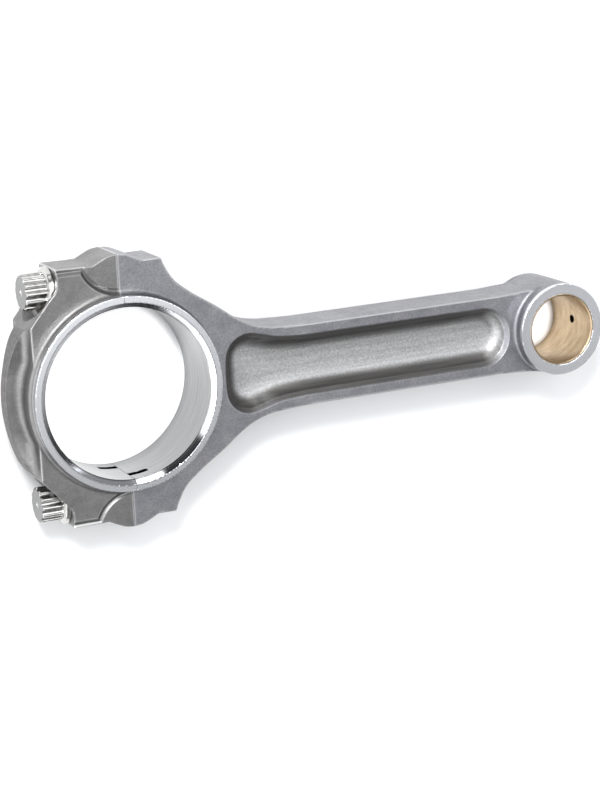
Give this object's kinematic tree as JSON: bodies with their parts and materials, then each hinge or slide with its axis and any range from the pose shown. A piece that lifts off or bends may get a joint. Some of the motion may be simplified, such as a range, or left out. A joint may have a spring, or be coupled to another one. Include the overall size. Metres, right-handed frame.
{
  "type": "connecting rod",
  "caption": "Forged I-beam engine connecting rod with a bolted big-end cap, cap screws, locating sleeves and a bronze small-end bush.",
  "frame": {"origin": "middle of the underside of the rod as it lies flat on its thrust faces", "axes": "+Z along the crankpin and wrist-pin axes, +X from the big end to the small end"},
  "size_m": [0.2146, 0.0904, 0.0258],
  "materials": {
    "rod_steel": "shot-peened satin grey with machined thrust faces",
    "cap_steel": "shot-peened satin grey, slightly darker than the rod",
    "bolt_steel": "bright plated steel",
    "sleeve_steel": "ground steel",
    "bronze": "honed bronze"
  },
  "bodies": {
    "rod": {"rod_body": "rod_steel", "small_end_bush": "bronze", "dowel_sleeve_left": "sleeve_steel", "dowel_sleeve_right": "sleeve_steel"},
    "cap": {"rod_cap": "cap_steel"},
    "bolt_left": {"cap_bolt_left": "bolt_steel"},
    "bolt_right": {"cap_bolt_right": "bolt_steel"}
  },
  "joints": [
    {"name": "cap_lift", "type": "slide", "parent": "rod", "child": "cap", "axis": [-1, 0, 0], "range_m": [0, 0.03]},
    {"name": "bolt_left_draw", "type": "slide", "parent": "cap", "child": "bolt_left", "axis": [-1, 0, 0], "range_m": [0, 0.04]},
    {"name": "bolt_right_draw", "type": "slide", "parent": "cap", "child": "bolt_right", "axis": [-1, 0, 0], "range_m": [0, 0.04]}
  ]
}
